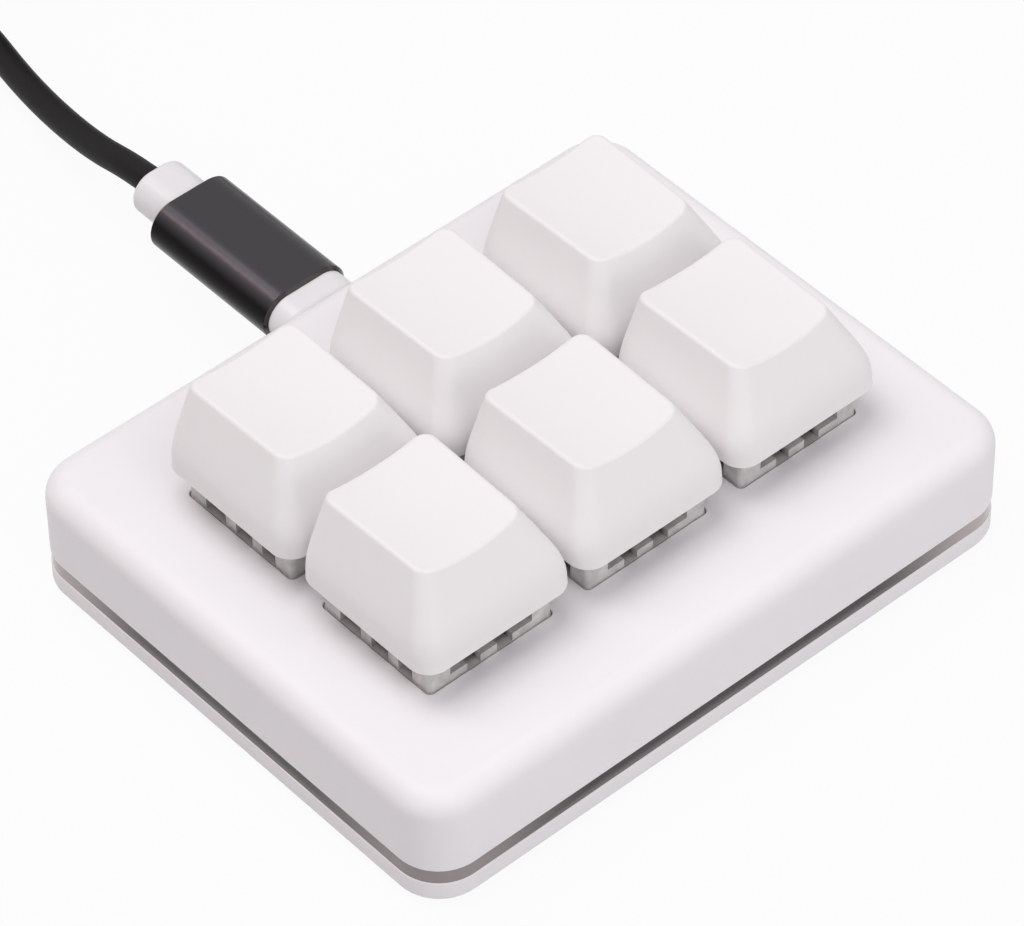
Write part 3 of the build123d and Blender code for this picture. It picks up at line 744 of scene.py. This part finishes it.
# The spline runs this much inside points that stand on a circle.
inside = (3 + math.cos(math.pi / points_per_half)) / 4
coil_route = []
x, height = lead_route[-1][0], lead_route[-1][2]
for index, (radius, steps) in enumerate(arcs):
    side = 1 if index % 2 == 0 else -1
    rise = layer_pitch if index % 4 == 3 else 0.0
    centre_x = x + side * radius
    for step in range(steps):
        angle = math.pi * step / points_per_half
        coil_route.append(
            (
                centre_x - side * radius / inside * math.cos(angle),
                coil_middle_y + side * radius / inside * math.sin(angle),
                height + rise * (1 - math.cos(angle)) / 2,
            )
        )
    x = centre_x + side * radius
    height += rise
coil_end_x, coil_end_y = centre_x, coil_middle_y + outer_radius
tail_route = [
    (coil_end_x, coil_end_y, height),
    (coil_end_x + 3.0, coil_end_y, height),
    (coil_end_x + 13.0, coil_end_y, height),
    (53.5, 128.0, 9.0),
    (58.0, 112.5, 3.85),
    (58.0, 98.45, 3.85),
]
route = lead_route + coil_route + tail_route
curve = bpy.data.curves.new("usb_cord", "CURVE")
curve.dimensions = "3D"
curve.bevel_depth = cord_diameter / 2 * MM
curve.bevel_resolution = 5
curve.resolution_u = 6
curve.use_fill_caps = True
spline = curve.splines.new("NURBS")
spline.points.add(len(route) - 1)
for point, (x, y, z) in zip(spline.points, route):
    point.co = (x * MM, y * MM, z * MM, 1.0)
spline.order_u = 3
spline.use_endpoint_u = True
cord = bpy.data.objects.new("usb_cord", curve)
bpy.context.scene.collection.objects.link(cord)

jacket = speckled(
    "black_pvc",
    {"IOR": 1.52, "Specular IOR Level": 0.12},
    speck_mm=1.2,
    colours=("#131112", "#191718"),
    detail=4.0,
    gloss=(0.42, 0.58),
    relief=(0.12, 0.02),
)
curve.materials.append(jacket)
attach(cord, "usb_lead")
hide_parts("cable_lead", "cable_coil", "cable_tail")

# Cable tie: a hook-and-loop strap round one side of the coil, its end lapped over on top.
# Woven nylon, so its face shows fine ribs across and a soft nap.
strap, tree, shader = start_material("woven_nylon", {"Roughness": 0.85, "Sheen Weight": 0.3})
place = add_node(tree, "ShaderNodeTexCoord").outputs["Object"]
rib_mm, rib_depth_mm = 0.6, 0.08
ribs = add_node(
    tree,
    "ShaderNodeTexWave",
    {"Scale": 2 * math.pi / (20 * rib_mm * MM), "Distortion": 0.6, "Detail": 1.0},
    {"Vector": place},
    bands_direction="Y",
)
strap_tint = add_node(
    tree,
    "ShaderNodeMix",
    {COLOUR_A: linear("#19191B"), COLOUR_B: linear("#2C2C2F")},
    {0: ribs.outputs["Fac"]},
    data_type="RGBA",
)
weave = add_node(
    tree,
    "ShaderNodeBump",
    {"Strength": 0.5, "Distance": rib_depth_mm * MM},
    {"Height": ribs.outputs["Fac"]},
)
tree.links.new(strap_tint.outputs[MIXED], shader.inputs["Base Color"])
tree.links.new(weave.outputs["Normal"], shader.inputs["Normal"])

strap_thick = 0.22 * MM
edge_share = 0.4
tip_long, tip_blunt = 3.0 * MM, 0.02 * MM
strap_low, strap_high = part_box("cable_tie")
strap_middle = (strap_low + strap_high) / 2
half_wide = (strap_high.y - strap_low.y) / 2
lap_rise = 1.1 * strap_thick
skin_room = 0.6 * strap_thick
side_x = (strap_high.x - strap_low.x) / 2 - skin_room - lap_rise
side_z = (strap_high.z - strap_low.z) / 2 - skin_room - lap_rise
bend = 1.2 * MM
bend_steps = 6
turn_from_top = math.pi / 2
loop = [(-0.35 * side_x, side_z, turn_from_top)]
for quarter, (sx, sz) in enumerate(((1, 1), (1, -1), (-1, -1), (-1, 1))):
    for step in range(bend_steps + 1):
        turn = turn_from_top - math.pi / 2 * (quarter + step / bend_steps)
        loop.append(
            (
                sx * (side_x - bend) + bend * math.cos(turn),
                sz * (side_z - bend) + bend * math.sin(turn),
                turn,
            )
        )
lap_steps = 12
lap_from, lap_to = -0.5 * side_x, 0.62 * side_x
for step in range(lap_steps + 1):
    x = lap_from + (lap_to - lap_from) * math.sin(math.pi / 2 * step / lap_steps)
    loop.append((x, side_z + lap_rise, turn_from_top))
across = [-1.0, -0.96, -0.5, 0.0, 0.5, 0.96, 1.0]
vertices = []
for x, z, turn in loop:
    to_tip = max(lap_to - x, tip_blunt) if z > side_z + lap_rise / 2 else tip_long
    width = half_wide * math.sqrt(1 - max(1 - to_tip / tip_long, 0) ** 2)
    for face, order in ((1, across), (-1, across[::-1])):
        for share in order:
            thick = strap_thick / 2 * (edge_share if abs(share) == 1 else 1.0)
            vertices.append(
                (
                    strap_middle.x + x + face * thick * math.cos(turn),
                    strap_middle.y + share * width,
                    strap_middle.z + z + face * thick * math.sin(turn),
                )
            )
around = 2 * len(across)
faces = [
    (
        ring * around + side,
        ring * around + (side + 1) % around,
        (ring + 1) * around + (side + 1) % around,
        (ring + 1) * around + side,
    )
    for ring in range(len(loop) - 1)
    for side in range(around)
]
faces.append(tuple(reversed(range(around))))
faces.append(tuple(range((len(loop) - 1) * around, len(loop) * around)))
tie_strap = new_piece("tie_strap", vertices, faces, strap)
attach(tie_strap, "usb_lead")
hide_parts("cable_tie")

# Studio: a white floor under a pale sky, four softboxes, and a strip that streaks the plug.
# Camera, gloss and glass see the floor and the sky as white; the floor keeps the shadow.


def seen_directly(tree):
    """1 for the rays of camera, gloss and glass, and 0 for those that light the object."""
    rays = add_node(tree, "ShaderNodeLightPath")
    seen = rays.outputs["Is Camera Ray"]
    for kind in ("Is Glossy Ray", "Is Transmission Ray"):
        either = add_node(
            tree, "ShaderNodeMath", None, {0: seen, 1: rays.outputs[kind]}, operation="MAXIMUM"
        )
        seen = either.outputs[0]
    return seen


floor_half = 3.0
floor_drop = 0.05 * MM
floor_whiteness = 0.94
corners = [(-1, -1), (1, -1), (1, 1), (-1, 1)]
floor_white, tree, shader = start_material(
    "floor_white", {"Base Color": linear("#D6D5D5"), "Roughness": 0.9}
)
whiteness = add_node(
    tree, "ShaderNodeMath", {1: floor_whiteness}, {0: seen_directly(tree)}, operation="MULTIPLY"
)
white = add_node(tree, "ShaderNodeEmission", {"Color": linear("#FFFFFF"), "Strength": 1.0})
blend = add_node(
    tree,
    "ShaderNodeMixShader",
    None,
    {0: whiteness.outputs[0], 1: shader.outputs[0], 2: white.outputs[0]},
)
tree.links.new(blend.outputs[0], tree.nodes["Material Output"].inputs["Surface"])
floor = new_piece(
    "floor",
    [(sx * floor_half, sy * floor_half, -floor_drop) for sx, sy in corners],
    [(0, 1, 2, 3)],
    floor_white,
    smooth=False,
)

world = bpy.data.worlds.new("pale_sky")
bpy.context.scene.world = world
world.use_nodes = True
tree = world.node_tree
sky_level = 0.38
seen = seen_directly(tree)
level = add_node(
    tree, "ShaderNodeMapRange", {"To Min": sky_level, "To Max": 1.0}, {"Value": seen}
)
sky_tint = add_node(
    tree,
    "ShaderNodeMix",
    {COLOUR_A: linear("#FFFBFC"), COLOUR_B: linear("#FFFFFF")},
    {0: seen},
    data_type="RGBA",
)
tree.links.new(sky_tint.outputs[MIXED], tree.nodes["Background"].inputs["Color"])
tree.links.new(level.outputs["Result"], tree.nodes["Background"].inputs["Strength"])


def softbox(name, place, size, watts, hex_colour="#FFFFFF", aim=(0, 0, 0)):
    """A rectangular lamp at a place, turned to a point."""
    lamp = bpy.data.lights.new(name, "AREA")
    lamp.shape = "RECTANGLE"
    lamp.size, lamp.size_y = size
    lamp.energy = watts
    lamp.color = linear(hex_colour)[:3]
    holder = bpy.data.objects.new(name, lamp)
    holder.location = place
    holder.rotation_euler = (Vector(aim) - Vector(place)).to_track_quat("-Z", "Y").to_euler()
    bpy.context.scene.collection.objects.link(holder)


softbox("overhead_softbox", (-0.1, 0.22, 0.94), (0.7, 0.7), 3.9, "#FAFDFF")
softbox("front_fill", (0.15, -0.85, 0.3), (0.6, 0.4), 1.4)
softbox("front_softbox", (-0.1, -0.6, 0.75), (0.6, 0.6), 1.3)
softbox("left_fill", (-0.5, 0.05, 0.8), (0.5, 0.4), 0.38, "#FFDCD4")
softbox("back_strip", (-0.2, 0.46, 0.65), (0.025, 0.6), 0.6, "#FFE6D8", aim=(0, 0.04, 0))

# Camera: a long lens well above and to the left of the front corner, as in the photograph.
# Its place and axes were fitted to the key pitch that the photograph shows.
lens_mm = 209.9
camera_place = (-0.25503, -0.29252, 0.41063)
camera_right = (0.74746, -0.66421, -0.01148)
camera_up = (0.48198, 0.53034, 0.69744)
camera_back = (-0.45716, -0.52684, 0.71655)
camera_data = bpy.data.cameras.new("camera")
camera_data.lens = lens_mm
camera_data.sensor_width = 36.0
camera_data.clip_start = 0.01
camera = bpy.data.objects.new("camera", camera_data)
turned = Matrix((camera_right, camera_up, camera_back)).transposed()
camera.matrix_world = Matrix.Translation(camera_place) @ turned.to_4x4()
bpy.context.scene.collection.objects.link(camera)
bpy.context.scene.camera = camera
bpy.context.scene.view_settings.view_transform = "Standard"

bpy.context.view_layer.update()
